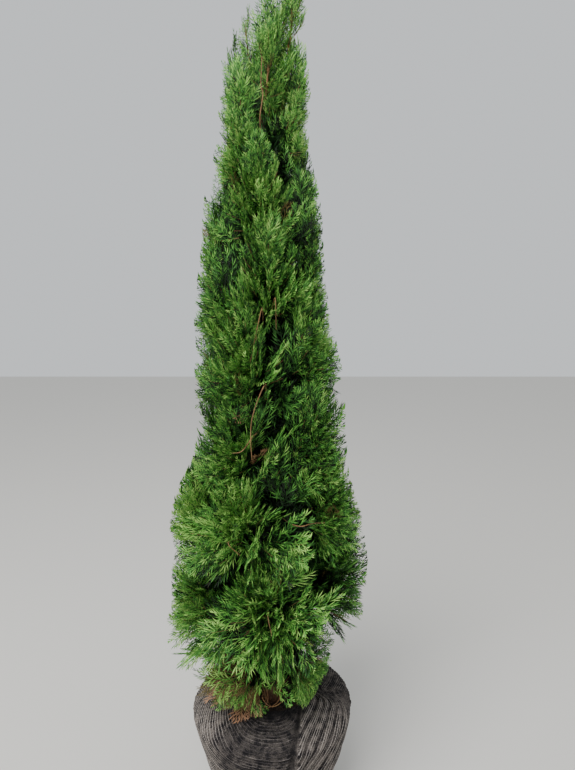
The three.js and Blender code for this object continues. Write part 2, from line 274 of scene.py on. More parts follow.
def newMaterial(name, roughness, specular=0.5):
    material = bpy.data.materials.new(name)
    material.use_nodes = True
    tree = material.node_tree
    shader = tree.nodes["Principled BSDF"]
    fill(tree, shader, {"Roughness": roughness, "Specular IOR Level": specular})
    return material, tree, shader


def plainMaterial(name, colour, roughness, specular=0.5):
    material, tree, shader = newMaterial(name, roughness, specular)
    fill(tree, shader, {"Base Color": rgb(colour)})
    return material


# The two darkest greens, leaf_painted_deep_shade and leaf_shade, are painted shade for the inside of the
# crown
leafColours = {
    "leaf_painted_deep_shade": "0e1b0c", "leaf_shade": "1a3716", "leaf_deep": "305f26", "leaf_mid": "4a8436",
    "leaf_bright": "64a241", "leaf_young": "84b955", "leaf_tip": "a0cb68",
    "leaf_bronze": "665a32", "leaf_dead": "a17a5b",
}
leafMaterials = [plainMaterial(name, colour, 0.55, 0.28) for name, colour in leafColours.items()]
liveTones = 7  # the first seven are live leaves, from dark to light
bronzeTone = 7
deadTone = 8


def noiseTexture(tree, source, scale, detail, roughness=0.5):
    values = {"Vector": source, "Scale": scale, "Detail": detail, "Roughness": roughness}
    return addNode(tree, "ShaderNodeTexNoise", values).outputs["Fac"]


def colourRamp(tree, source, stops):
    ramp = addNode(tree, "ShaderNodeValToRGB", {"Fac": source})
    while len(ramp.color_ramp.elements) < len(stops):
        ramp.color_ramp.elements.new(0.5)
    for element, (place, colour) in zip(ramp.color_ramp.elements, stops):
        element.position = place
        element.color = rgb(colour)
    return ramp.outputs["Color"]


def stretched(tree, source, scale):
    return addNode(tree, "ShaderNodeMapping", {"Vector": source, "Scale": scale}).outputs["Vector"]


def mathNode(tree, operation, a, b, clamp=False):
    node = addNode(tree, "ShaderNodeMath", {0: a, 1: b}, operation=operation, use_clamp=clamp)
    return node.outputs["Value"]


def times(tree, a, b, clamp=False):
    return mathNode(tree, "MULTIPLY", a, b, clamp)


def plus(tree, a, b):
    return mathNode(tree, "ADD", a, b)


def mixColour(tree, share, a, b):
    node = addNode(tree, "ShaderNodeMix", {}, data_type="RGBA")
    return fill(tree, node, {"Factor": share, "A": a, "B": b}).outputs["Result"]


def addBump(tree, shader, height, strength, distance):
    values = {"Strength": strength, "Distance": distance, "Height": height}
    fill(tree, shader, {"Normal": addNode(tree, "ShaderNodeBump", values).outputs["Normal"]})


# Patches of dry earth and dust for the cloth, the bark and the soil, as a group built once
def earthDustGroup():
    tree = bpy.data.node_groups.new("earthDust", "ShaderNodeTree")
    tree.interface.new_socket("Vector", in_out="INPUT", socket_type="NodeSocketVector")
    for name, usual in (("Scale", 30), ("Amount", 0.5)):
        socket = tree.interface.new_socket(name, in_out="INPUT", socket_type="NodeSocketFloat")
        socket.default_value = usual
    tree.interface.new_socket("Mask", in_out="OUTPUT", socket_type="NodeSocketFloat")
    inside = tree.nodes.new("NodeGroupInput").outputs
    outside = tree.nodes.new("NodeGroupOutput")
    broad = noiseTexture(tree, inside["Vector"], inside["Scale"], 5)
    fine = noiseTexture(tree, inside["Vector"], times(tree, inside["Scale"], 9), 3)
    raised = mathNode(tree, "SUBTRACT", times(tree, broad, fine), 0.2)
    fill(tree, outside, {"Mask": times(tree, times(tree, raised, 7, clamp=True), inside["Amount"])})
    return tree


earthDust = earthDustGroup()


def dustMask(tree, source, scale, amount):
    values = {"Vector": source, "Scale": scale, "Amount": amount}
    node = addNode(tree, "ShaderNodeGroup", {}, node_tree=earthDust)
    return fill(tree, node, values).outputs["Mask"]


# Above youngFrom the bark turns to that of young wood
def barkMaterial(name, stops, dust, youngFrom=2):
    material, tree, shader = newMaterial(name, 0.85)
    place = addNode(tree, "ShaderNodeTexCoord", {}).outputs["Object"]
    strips = noiseTexture(tree, stretched(tree, place, (1, 1, 0.12)), 260, 6, 0.65)
    colour = colourRamp(tree, strips, stops)
    colour = mixColour(tree, dustMask(tree, place, 40, dust), colour, rgb("8c7b68"))
    height = addNode(tree, "ShaderNodeSeparateXYZ", {"Vector": place}).outputs["Z"]
    young = times(tree, mathNode(tree, "SUBTRACT", height, youngFrom), 4, clamp=True)
    youngColour = colourRamp(tree, strips, [(0.3, "6f4023"), (0.5, "9c6038"), (0.72, "bb8352")])
    fill(tree, shader, {"Base Color": mixColour(tree, young, colour, youngColour)})
    addBump(tree, shader, strips, 0.7, 0.0015)
    return material


def clothMaterial():
    material, tree, shader = newMaterial("ribbed_cloth", 0.85, 0.2)
    place = addNode(tree, "ShaderNodeTexCoord", {}).outputs["Object"]
    rows = addNode(tree, "ShaderNodeUVMap", {}, uv_map="rows").outputs["UV"]
    # The shade attribute carries the bag's painted light and shade
    shade = addNode(tree, "ShaderNodeAttribute", {}, attribute_name="shade").outputs["Fac"]
    run = addNode(tree, "ShaderNodeSeparateXYZ", {"Vector": rows}).outputs["Y"]
    swing = mathNode(tree, "COSINE", times(tree, run, 2 * math.pi / bag["ribPitch"]), 0)
    rib = mathNode(tree, "POWER", plus(tree, times(tree, swing, 0.5), 0.5), 4)
    speck = noiseTexture(tree, stretched(tree, rows, (0.3, 1, 1)), 420, 4, 0.65)
    worn = noiseTexture(tree, place, 55, 5, 0.6)
    weaveValues = {"Vector": rows, "Scale": 110, "Distortion": 1.5, "Detail": 2, "Detail Scale": 3}
    weave = addNode(tree, "ShaderNodeTexWave", weaveValues, bands_direction="X").outputs["Fac"]
    # Rib crests are painted lighter, partly dust and partly painted highlight, and the whole is darkened by
    # the painted shade
    light = plus(tree, times(tree, times(tree, rib, speck), 1.5), times(tree, worn, 0.15))
    light = times(tree, light, shade, clamp=True)
    colour = colourRamp(tree, light, [(0.0, "09080a"), (0.2, "131114"), (0.5, "3b3637"), (1.0, "b3aaa2")])
    colour = mixColour(tree, times(tree, weave, 0.5), colour, rgb("1a191c"))
    # Dust is laid on where the painted shade is light, so it is partly painted light
    dustAndPaintedLight = times(tree, times(tree, shade, 0.55), dustMask(tree, place, 70, 0.8), clamp=True)
    fill(tree, shader, {"Base Color": mixColour(tree, dustAndPaintedLight, colour, rgb("8d837b"))})
    raised = plus(tree, plus(tree, rib, times(tree, weave, 0.5)), speck)
    addBump(tree, shader, raised, 0.6, 0.0012)
    return material


def soilMaterial():
    material, tree, shader = newMaterial("damp_soil", 0.95)
    place = addNode(tree, "ShaderNodeTexCoord", {}).outputs["Object"]
    crumbs = noiseTexture(tree, place, 190, 8, 0.7)
    colour = colourRamp(tree, crumbs, [(0.3, "0d0a08"), (0.55, "251b14"), (0.75, "46362a")])
    colour = mixColour(tree, dustMask(tree, place, 60, 0.35), colour, rgb("6d5a48"))
    fill(tree, shader, {"Base Color": colour})
    addBump(tree, shader, crumbs, 0.9, 0.004)
    return material


trunkBark = barkMaterial("trunk_bark", [(0.3, "3a2418"), (0.5, "6b4630"), (0.72, "9a7355")], 0.4, 1.15)
twigBark = barkMaterial("twig_bark", [(0.3, "46301b"), (0.5, "785634"), (0.72, "a38052")], 0.1)
print("materials made")


def newObject(name, data):
    made = bpy.data.objects.new(name, data)
    bpy.context.scene.collection.objects.link(made)
    return made


# Joined meshes from arrays, for leaves and thin twigs
def meshFromArrays(name, places, faces, tones, materials):
    mesh = bpy.data.meshes.new(name)
    mesh.vertices.add(len(places))
    mesh.vertices.foreach_set("co", places.astype(np.float32).ravel())
    mesh.loops.add(faces.size)
    mesh.loops.foreach_set("vertex_index", faces.astype(np.int32).ravel())
    mesh.polygons.add(len(faces))
    mesh.polygons.foreach_set("loop_start", np.arange(0, faces.size, 3, dtype=np.int32))
    mesh.polygons.foreach_set("loop_total", np.full(len(faces), 3, dtype=np.int32))
    for material in materials:
        mesh.materials.append(material)
    mesh.polygons.foreach_set("material_index", tones.astype(np.int32))
    mesh.update(calc_edges=True)
    mesh.validate()
    return newObject(name, mesh)


def bodyPiece(piece, nodeNames=()):
    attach(piece, "root")
    if nodeNames:
        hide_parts(*nodeNames)
    return piece


# A frond is a flat fan of scale leaves on one axis of length 1: each leaf is a narrow kite with a ridge.
# Short fronds have fewer and wider leaves, so that a leaf has about the same width on all of them.
kiteFaces = np.array([(0, 3, 1), (0, 2, 3)])
frondValues = {
    "kinds": 10, "longFrom": 0.042, "fold": 0.45, "firstShoot": 0.05, "angleDrop": 14, "angleSpread": 14,
    "forks": (0.25, 0.5, 0.5), "forkSides": (1, -1, 0.15), "endReach": 0.55,
    "axisStep": 0.33, "axisLeaf": 0.38,
}
frondValues["short"] = {
    "shoots": 7, "spacing": 0.13, "reach": 0.6, "angle": 38,
    "leafWidth": 0.048, "forkReach": 0.55, "forkAngle": 24,
}
frondValues["long"] = {
    "shoots": 9, "spacing": 0.098, "reach": 0.58, "angle": 36,
    "leafWidth": 0.034, "forkReach": 0.6, "forkAngle": 20,
}
shadeValues = {"kinds": 4, "leaves": 15, "halfTurn": 42, "leafWidth": 0.12}


def addKite(leaves, foot, angle, length, width, lift, tone):
    along = (math.cos(angle), math.sin(angle))
    side = (-along[1] * width / 2, along[0] * width / 2)
    middle = (foot[0] + along[0] * length * 0.55, foot[1] + along[1] * length * 0.55)
    low = lift - width * frondValues["fold"]
    leaves.append(([
        (foot[0], foot[1], lift),
        (middle[0] + side[0], middle[1] + side[1], low),
        (middle[0] - side[0], middle[1] - side[1], low),
        (foot[0] + along[0] * length, foot[1] + along[1] * length, lift),
    ], tone))


def frondKind(seed, values):
    draw = randomStream(seed)
    leaves = []
    for step in range(3):
        foot = (frondValues["axisStep"] * step, 0)
        addKite(leaves, foot, 0, frondValues["axisLeaf"], values["leafWidth"], 0, step == 2)
    for i in range(values["shoots"]):
        u = frondValues["firstShoot"] + values["spacing"] * i
        side = 1 if i % 2 else -1
        length = values["reach"] * math.sin(math.pi * (0.2 + 0.68 * u)) ** 0.7 * (0.8 + 0.4 * draw())
        spreading = frondValues["angleSpread"] * (draw() - 0.5)
        angle = side * math.radians(values["angle"] - frondValues["angleDrop"] * u + spreading)
        lift = 0.08 * (draw() - 0.5)
        # Kite tones differ at random, and the forks and axis end are lighter than the foot of the shoot:
        # partly lighter young tips, partly painted shade near the axis
        tone = int(draw() * 5) - 2
        addKite(leaves, (u, 0), angle, length * 0.62, values["leafWidth"], lift, tone)
        for n, part in enumerate(frondValues["forks"]):
            foot = (u + math.cos(angle) * length * part, math.sin(angle) * length * part)
            turn = frondValues["forkSides"][n] * side
            bend = turn * math.radians(values["forkAngle"] + 8 * (draw() - 0.5))
            reach = length * (values["forkReach"] if n < 2 else frondValues["endReach"])
            reach *= 0.8 + 0.4 * draw()
            width = values["leafWidth"] * 0.95
            addKite(leaves, foot, angle + bend, reach, width, lift, tone + 1 + (n == 2))
    return frondArrays(leaves)


# Wide leaves for the inside of the crown, which take the darkest tones as painted shade
def shadeKind(seed):
    draw = randomStream(seed)
    leaves = []
    for i in range(shadeValues["leaves"]):
        angle = math.radians(shadeValues["halfTurn"]) * (2 * draw() - 1)
        foot = (0.5 * draw(), 0.25 * (draw() - 0.5))
        length = 0.4 + 0.15 * draw()
        addKite(leaves, foot, angle, length, shadeValues["leafWidth"], 0.15 * (draw() - 0.5), 0)
    return frondArrays(leaves)


def frondArrays(leaves):
    places = np.array([spots for spots, tone in leaves], dtype=np.float64).reshape(-1, 3)
    faces = (kiteFaces[None] + 4 * np.arange(len(leaves))[:, None, None]).reshape(-1, 3)
    tones = np.repeat([int(tone) for spots, tone in leaves], len(kiteFaces))
    return places, faces, tones


kinds = [frondKind(500 + i, frondValues["short"]) for i in range(frondValues["kinds"])]
kinds += [frondKind(600 + i, frondValues["long"]) for i in range(frondValues["kinds"])]
kinds += [shadeKind(700 + i) for i in range(shadeValues["kinds"])]


crownSides = [  # height, share of the outline kept on the left, and on the right
    (0.34, 1.24, 0.69), (0.40, 1.08, 0.67), (0.43, 1.04, 0.90), (0.48, 0.97, 0.92), (0.57, 0.96, 0.97),
    (0.66, 1.0, 0.95), (0.73, 0.98, 0.93), (0.80, 0.88, 0.97), (0.90, 0.86, 0.98), (0.98, 0.88, 0.96),
    (1.10, 0.96, 0.90), (1.20, 0.90, 0.88), (1.40, 0.93, 0.92), (1.50, 0.85, 1.0), (1.60, 0.95, 1.0),
]
heldBack = {"past": 0.005, "kept": 0.15}  # a leaf keeps this share of what passes the outline by more


def sideShare(height, side):
    heights, lefts, rights = zip(*crownSides)
    left, right = np.interp(height, heights, lefts), np.interp(height, heights, rights)
    onLeft, onRight = np.maximum(-side, 0) ** 1.5, np.maximum(side, 0) ** 1.5
    return 1 + (left - 1) * onLeft + (right - 1) * onRight


# Leaves that stand far out of the crown's outline are drawn back towards it
def heldInside(places):
    share = np.clip((places[:, 2] - lean["from"]) / (lean["to"] - lean["from"]), 0, 1)
    middleX = lean["x"] * share * share * (3 - 2 * share)
    middleY = lean["swing"] * np.sin(2 * math.pi * (places[:, 2] - soilTop) / (trunk["top"] - soilTop))
    across, deep = places[:, 0] - middleX, places[:, 1] - middleY
    away = np.hypot(across, deep)
    limit = np.interp(places[:, 2], outlineHeights, outlineRadii) * sideShare(places[:, 2], across / away)
    limit += heldBack["past"]
    drawn = np.where(away > limit, (limit + heldBack["kept"] * (away - limit)) / away, 1)
    return np.stack((middleX + across * drawn, middleY + deep * drawn, places[:, 2]), axis=1)


# Each frond holds its kind, root, way, across, length, curl and tone
def leafPiece(name, fronds, isTip):
    allPlaces, allFaces, allTones = [], [], []
    count = 0
    for kind in range(len(kinds)):
        chosen = [frond for frond in fronds if frond[0] == kind]
        if not chosen:
            continue
        places, faces, tones = kinds[kind]
        roots, ways, acrosses = (np.array([frond[n] for frond in chosen]) for n in (1, 2, 3))
        lengths, curls, base = (np.array([frond[n] for frond in chosen])[:, None] for n in (4, 5, 6))
        ups = np.cross(ways, acrosses)
        lift = places[None, :, 2] + curls * places[None, :, 0] ** 2
        moved = (
            places[None, :, 0:1] * ways[:, None] + places[None, :, 1:2] * acrosses[:, None]
            + lift[:, :, None] * ups[:, None]
        )
        moved = (roots[:, None] + lengths[:, :, None] * moved).reshape(-1, 3)
        allPlaces.append(heldInside(moved) if not isTip else moved)
        offsets = count + len(places) * np.arange(len(chosen))
        allFaces.append((faces[None] + offsets[:, None, None]).reshape(-1, 3))
        lighter = np.clip(base + tones[None], 0, liveTones - 1)
        allTones.append(np.where(base < liveTones, lighter, base + 0 * tones[None]).ravel())
        count += len(places) * len(chosen)
    return meshFromArrays(
        name, np.concatenate(allPlaces), np.concatenate(allFaces), np.concatenate(allTones), leafMaterials
    )


# Thin twigs as tapering tubes
def tubeArrays(spots, radii, sides):
    places = []
    faces = []
    reference = Vector((0.3, 1, 0.2)).normalized()
    for i, (spot, radius) in enumerate(zip(spots, radii)):
        tangent = (spots[min(i + 1, len(spots) - 1)] - spots[max(i - 1, 0)]).normalized()
        side = reference.cross(tangent).normalized()
        other = tangent.cross(side)
        for n in range(sides):
            turned = 2 * math.pi * n / sides
            places.append(spot + side * math.cos(turned) * radius + other * math.sin(turned) * radius)
    for i in range(len(spots) - 1):
        for n in range(sides):
            a = i * sides + n
            b = i * sides + (n + 1) % sides
            faces += [(a, b, b + sides), (a, b + sides, a + sides)]
    last = len(places) - sides
    for n in range(1, sides - 1):
        faces.append((0, n + 1, n))
        faces.append((last, last + n, last + n + 1))
    return np.array(places), np.array(faces)


def twigPiece(name, tubes, material):
    places, faces, count = [], [], 0
    for tubePlaces, tubeFaces in tubes:
        places.append(tubePlaces)
        faces.append(tubeFaces + count)
        count += len(tubePlaces)
    faces = np.concatenate(faces)
    return meshFromArrays(name, np.concatenate(places), faces, np.zeros(len(faces)), [material])


# What the growth of the crown keeps to: how many sprays, how far out, and where it stays open
crown = {
    "extra": {  # sprays that each mass gets beyond the source's
        "skirt": 34, "lower": 30, "broad": 29, "waist": 34, "middle": 34, "upper": 32, "neck": 32,
        "spire": 22, "crest": 10, "tip_main": 8, "tip_second": 6, "tip_side": 9,
    },
    "extraShift": 0.41, "margin": 0.0004, "crossing": -0.018, "highCrossing": -0.03, "high": 1.0,
    "shadeTop": 1.42, "proud": 0.002, "aboveSoil": 0.016, "shrink": 0.86, "tries": 9,
    "tipFoot": 0.045, "tipRise": (1.53, 1.585), "tipShift": 0.006, "shiftRise": (1.56, 1.6),
    "tipReach": {"tip_main": 0.031, "tip_second": 0.009, "tip_side": 0.011},
}
skirtLimit = [  # height, radius that the hanging sprays keep over the bag
    (0.262, 0.080), (0.275, 0.098), (0.300, 0.118), (0.330, 0.150), (0.360, 0.182), (0.385, 0.202),
]
crownGaps = [  # narrow dark clefts in the front of the crown: x, z, half width, half height
    (-0.059, 1.236, 0.010, 0.026), (0.030, 0.990, 0.008, 0.036), (-0.012, 0.875, 0.009, 0.014),
    (0.029, 0.801, 0.007, 0.022), (0.015, 0.618, 0.011, 0.024), (-0.043, 0.498, 0.013, 0.020),
    (-0.070, 0.462, 0.011, 0.026), (0.004, 0.318, 0.036, 0.036), (0.000, 1.400, 0.012, 0.024),
    (-0.012, 1.484, 0.009, 0.056), (-0.055, 0.285, 0.030, 0.020), (0.055, 0.288, 0.014, 0.013),
]
thinSpots = [  # where the masses meet thinly, in the same four values
    (0.032, 0.765, 0.022, 0.030), (0.045, 1.345, 0.016, 0.035), (0.042, 1.205, 0.016, 0.025),
    (-0.075, 1.195, 0.016, 0.030), (-0.060, 1.130, 0.016, 0.020), (0.010, 0.745, 0.020, 0.022),
    (0.045, 1.275, 0.018, 0.030),
]
gapFront = {"low": -0.3, "high": -0.04, "from": 1.4}  # how far forward a cleft begins, in crown radii


def reachLimit(z, side):
    share = float(sideShare(z, side))
    limit = crownRadius(z) * share + crown["proud"]
    if z < skirtLimit[-1][0]:
        skirt = float(np.interp(z, [h for h, r in skirtLimit], [r for h, r in skirtLimit]))
        limit = min(limit, skirt * max(share, 1))
    return limit


def tipLine(mass, z):
    spots = [bendPoint(mass["stem"], i / 8) for i in range(9)]
    heights = [spot.z for spot in spots]
    return Vector([float(np.interp(z, heights, [spot[axis] for spot in spots])) for axis in (0, 1)] + [z])


# The reach is cut down until its end lies inside the crown, or to nothing
def reachInside(start, heading, reach, mass, share):
    for step in range(crown["tries"]):
        end = start + heading * reach
        line = tipLine(mass, end.z) if mass["isTip"] else trunkLine(end.z)
        if mass["name"] == "tip_main":
            line.x += crown["tipShift"] * smoothShare(end.z, *crown["shiftRise"])
        away = math.hypot(end.x - line.x, end.y - line.y)
        side = (end.x - line.x) / max(away, 1e-4)
        if mass["isTip"]:
            tipReach = crown["tipReach"][mass["name"]]
            limit = share * mix(crown["tipFoot"], tipReach, smoothShare(end.z, *crown["tipRise"]))
        else:
            limit = share * reachLimit(end.z, side)
        if end.z > soilTop + crown["aboveSoil"] and away < limit:
            return reach
        reach *= crown["shrink"]
    return 0


def inGap(spot):
    forward = gapFront["low" if spot.z < gapFront["from"] else "high"]
    if spot.y > forward * crownRadius(spot.z):
        return False
    return any(((spot.x - x) / wide) ** 2 + ((spot.z - z) / high) ** 2 < 1 for x, z, wide, high in crownGaps)


# A frond is lighter the further out it stands and near the top: painted shade inside the crown and painted
# light at the top, partly also the lighter young growth outside. It is lighter in patches; a few are dry
toneValues = {
    "outer": 2.3, "top": 0.1, "low": 0.7, "dim": 0.2, "spread": 1.9, "leastTop": 2.2,
    "outerFrom": 0.4, "topRise": (1.2, 1.55), "lowRise": (0.3, 0.5),
    "dry": 0.002, "dryInside": 0.015, "dryLow": 0.03, "bronzeShare": 0.6,
}
dryPatch = {"place": Vector((-0.11, -0.10, 0.31)), "reach": 0.085, "share": 0.6}


def frondTone(spot, patch, draw):
    line = trunkLine(spot.z)
    away = math.hypot(spot.x - line.x, spot.y - line.y)
    outer = smoothShare(away / crownRadius(spot.z), toneValues["outerFrom"], 1)
    top = smoothShare(spot.z, *toneValues["topRise"])
    low = 1 - smoothShare(spot.z, *toneValues["lowRise"])
    tone = toneValues["outer"] * outer + toneValues["top"] * top + toneValues["low"] * low - toneValues["dim"]
    tone = tone + toneValues["spread"] * (draw() - 0.5) + patch
    # Near the top the darkest tones are left out: less painted shade where the light falls
    tone = max(tone, toneValues["leastTop"] * top)
    dry = (toneValues["dry"] + toneValues["dryInside"] * (1 - outer)) * (1 - top) + toneValues["dryLow"] * low
    if (spot - dryPatch["place"]).length < dryPatch["reach"]:
        dry = dryPatch["share"]
    if draw() < dry:
        return bronzeTone if draw() < toneValues["bronzeShare"] else deadTone
    return int(min(max(round(tone), 0), liveTones - 1))


def longer(kind, reach):
    return kind + (frondValues["kinds"] if reach > frondValues["longFrom"] else 0)


def squared(level, heading):
    return (level - heading * level.dot(heading)).normalized()


# One twig of a mass: its fronds stand on both sides in turn, and one goes on from its end
spray = {
    "fronds": 6, "firstFrond": 0.1, "lastFrond": 0.78, "endFrond": 0.62, "turn": 0.72, "turnSpread": 0.25,
    "reach": 0.56, "twigRadius": 0.0011, "held": 0.98, "leastLength": 0.02, "leastFrond": 0.016,
    "patches": 2.2, "patchScale": 32, "ragged": (0.85, 1.06), "raggedLow": (0.68, 1.18), "lowUpTo": 0.36,
    "sparse": 0.5, "sparseFrom": 0.13, "sparseUpTo": 0.56,  # the share left out at the lower right
    "lift": {  # how far the fronds turn upwards
        "skirt": -0.35, "lower": -0.2, "broad": 0.1, "waist": 0.45, "middle": 0.55, "upper": 0.65,
        "neck": 0.75, "spire": 0.8, "crest": 0.9, "tip_main": 1, "tip_second": 1, "tip_side": 1,
    },
}


def growSpray(mass, root, way, across, length, draw, fronds, tubes):
    length = reachInside(root, way, length, mass, spray["held"])
    if length < spray["leastLength"]:
        return
    up = way.cross(across)
    curl = blade["curl"]
    axis = [root + way * u * length + up * curl * length * u * u for u in (0, 0.25, 0.5, 0.75, 0.9)]
    radius = spray["twigRadius"] * (0.6 + 4 * length)
    tubes.append(tubeArrays(axis, [radius * (1 - 0.18 * i) for i in range(5)], 3))
    count = spray["fronds"]
    lift = spray["lift"][mass["name"]]
    patch = spray["patches"] * noise.noise(root * spray["patchScale"])
    for i in range(count + 1):
        atEnd = i == count
        along = (spray["lastFrond"] - spray["firstFrond"]) * i / (count - 1)
        u = spray["endFrond"] if atEnd else spray["firstFrond"] + along
        start = root + way * u * length + up * curl * length * u * u
        if atEnd:
            turned = 0.12 * (draw() - 0.5)
        else:
            turned = spray["turn"] - 0.3 * u + spray["turnSpread"] * (draw() - 0.5)
            turned *= 1 if i % 2 else -1
        slope = 2 * curl * u + 0.3 * (draw() - 0.5)
        heading = way * math.cos(turned) + across * math.sin(turned) + up * slope
        heading.z += lift * (0.4 + u)
        heading.normalize()
        level = across * math.cos(turned) - way * math.sin(turned)
        level = squared(turnAbout(level, heading, 0.8 * (draw() - 0.5)), heading)
        reach = length * (spray["reach"] * (0.9 if atEnd else 1.05 - 0.35 * u)) * (0.9 + 0.25 * draw())
        kind = int(draw() * frondValues["kinds"])
        tone = frondTone(start + heading * reach * 0.8, patch, draw)
        bend = 0.2 * (draw() - 0.35)
        least, most = spray["raggedLow" if start.z < spray["lowUpTo"] else "ragged"]
        reach = reachInside(start, heading, reach, mass, mix(least, most, draw()))
        end = start + heading * reach
        hidesGap = inGap(end) or inGap(start + heading * reach * 0.55)
        atLowerRight = end.x > spray["sparseFrom"] and end.z < spray["sparseUpTo"]
        isThin = atLowerRight and draw() < spray["sparse"]
        if reach > spray["leastFrond"] and not hidesGap and not isThin:
            fronds.append((longer(kind, reach), start, heading, level, reach, bend, tone))


# Wide leaves in the darkest tones that fill the inside of a mass, as painted shade
shadeGrowth = {
    "count": 70, "stemShare": 0.85, "onTrunk": 0.5, "rise": 0.1, "fan": 2.6, "slope": (-0.2, 1.4),
    "reach": 0.62, "tipReach": 0.4, "heldLow": 0.6, "held": 0.76, "heldRise": (0.4, 0.5),
    "least": 0.01, "curl": 0.1, "tones": 1.8,
}


def growShade(mass, draw, fronds):
    for i in range(shadeGrowth["count"]):
        along = draw()
        root = bendPoint(mass["stem"], along * shadeGrowth["stemShare"])
        if along < shadeGrowth["onTrunk"]:
            height = root.z + shadeGrowth["rise"] * (draw() - 0.5)
            root = trunkLine(height) + mass["outward"] * along * 0.4 * crownRadius(height)
        outward = turnAbout(mass["outward"], zAxis, shadeGrowth["fan"] * (draw() - 0.5))
        heading = (outward + zAxis * mix(*shadeGrowth["slope"], draw())).normalized()
        level = turnAbout(heading.cross(zAxis).normalized(), heading, math.pi * draw())
        share = shadeGrowth["tipReach"] if mass["isTip"] else shadeGrowth["reach"]
        reach = share * crownRadius(root.z) * (0.8 + 0.4 * draw())
        kind = 2 * frondValues["kinds"] + int(draw() * shadeValues["kinds"])
        held = mix(shadeGrowth["heldLow"], shadeGrowth["held"], smoothShare(root.z, *shadeGrowth["heldRise"]))
        reach = reachInside(root, heading, reach, mass, held)
        if reach > shadeGrowth["least"]:
            # the two darkest tones: painted shade
            tone = int(draw() * shadeGrowth["tones"])
            fronds.append((kind, root, heading, level, reach, shadeGrowth["curl"], tone))


# Fronds inside the crown behind the clefts, so that no daylight shows through them; they take the dark tones,
# as painted shade
cleft = {
    "fronds": 40, "lowest": 0.45, "high": 1.17, "wide": 3.6, "tall": 2.6, "drop": 0.02, "nearest": 0.05,
    "behind": 0.5, "inFront": 0.62, "inFrontHigh": 0.25, "reach": 0.06, "reachHigh": 0.045,
    "least": 0.02, "turn": 0.8, "curl": 0.15, "tones": 2.6,
}


def frondsBehindClefts():
    made = {}
    draw = randomStream(7000)
    for x, z, wide, tall in crownGaps + thinSpots:
        if z < cleft["lowest"]:
            continue
        isHigh = z > cleft["high"]
        inFront = cleft["inFrontHigh" if isHigh else "inFront"]
        for i in range(cleft["fronds"]):
            if i % 2:
                deep = crownRadius(z) * (cleft["nearest"] + cleft["behind"] * draw())
            else:
                deep = crownRadius(z) * -(cleft["nearest"] + inFront * draw())
            across = x + cleft["wide"] * wide * (draw() - 0.5)
            root = Vector((across, deep, z + cleft["tall"] * tall * (draw() - 0.5) - cleft["drop"]))
            sidelong = 1.2 * (draw() - 0.5)
            heading = Vector((sidelong, 0.7 * math.copysign(draw() - 0.3, deep), 0.8)).normalized()
            level = squared(turnAbout(Vector((1, 0, 0)), zAxis, cleft["turn"] * (draw() - 0.5)), heading)
            away = np.linalg.norm(np.array(root) * (1, 1, flatten) - seedSpots, axis=1)
            index = int(np.argmin(away))
            reach = cleft["reachHigh" if isHigh else "reach"]
            reach = reachInside(root, heading, reach, masses[index], 1)
            if reach > cleft["least"]:
                kind = longer(int(draw() * frondValues["kinds"]), reach)
                # dark tones: painted shade
                tone = int(draw() * cleft["tones"])
                frond = (kind, root, heading, level, reach, cleft["curl"], tone)
                made.setdefault(index, []).append(frond)
    return made


# Sprays that stand round the top of the trunk, mostly behind it
back = {
    "sprays": 12, "rise": 0.15, "roundFrom": 1.35, "arc": 1.3, "arcStart": 0.15, "lean": (0.5, 1.0),
    "away": 0.012, "twist": 1.2, "length": 0.05, "lengthSpread": 0.03,
}


def backSprays(draw, middle):
    made = []
    for i in range(back["sprays"]):
        root = trunkLine(middle + back["rise"] * (draw() - 0.5))
        isRound = middle > back["roundFrom"]
        turned = math.pi * (2 * draw() if isRound else draw() * back["arc"] - back["arcStart"])
        radial = Vector((math.cos(turned), math.sin(turned), 0))
        way = (radial * mix(*back["lean"], draw()) + zAxis).normalized()
        across = turnAbout(zAxis.cross(radial), way, back["twist"] * (draw() - 0.5))
        root += radial * back["away"] * draw()
        made.append((root, way, across, back["length"] + back["lengthSpread"] * draw()))
    return made


# A smooth line through a few points
def smoothLine(points, steps):
    points = [Vector(point) for point in points]
    padded = [points[0] * 2 - points[1]] + points + [points[-1] * 2 - points[-2]]
    line = []
    for a, b, c, d in zip(padded, padded[1:], padded[2:], padded[3:]):
        for i in range(steps):
            t = i / steps
            square = (a * 2 - b * 5 + c * 4 - d) * t * t
            cube = (b * 3 - a - c * 3 + d) * t ** 3
            line.append(0.5 * (b * 2 + (c - a) * t + square + cube))
    return line + [points[-1]]


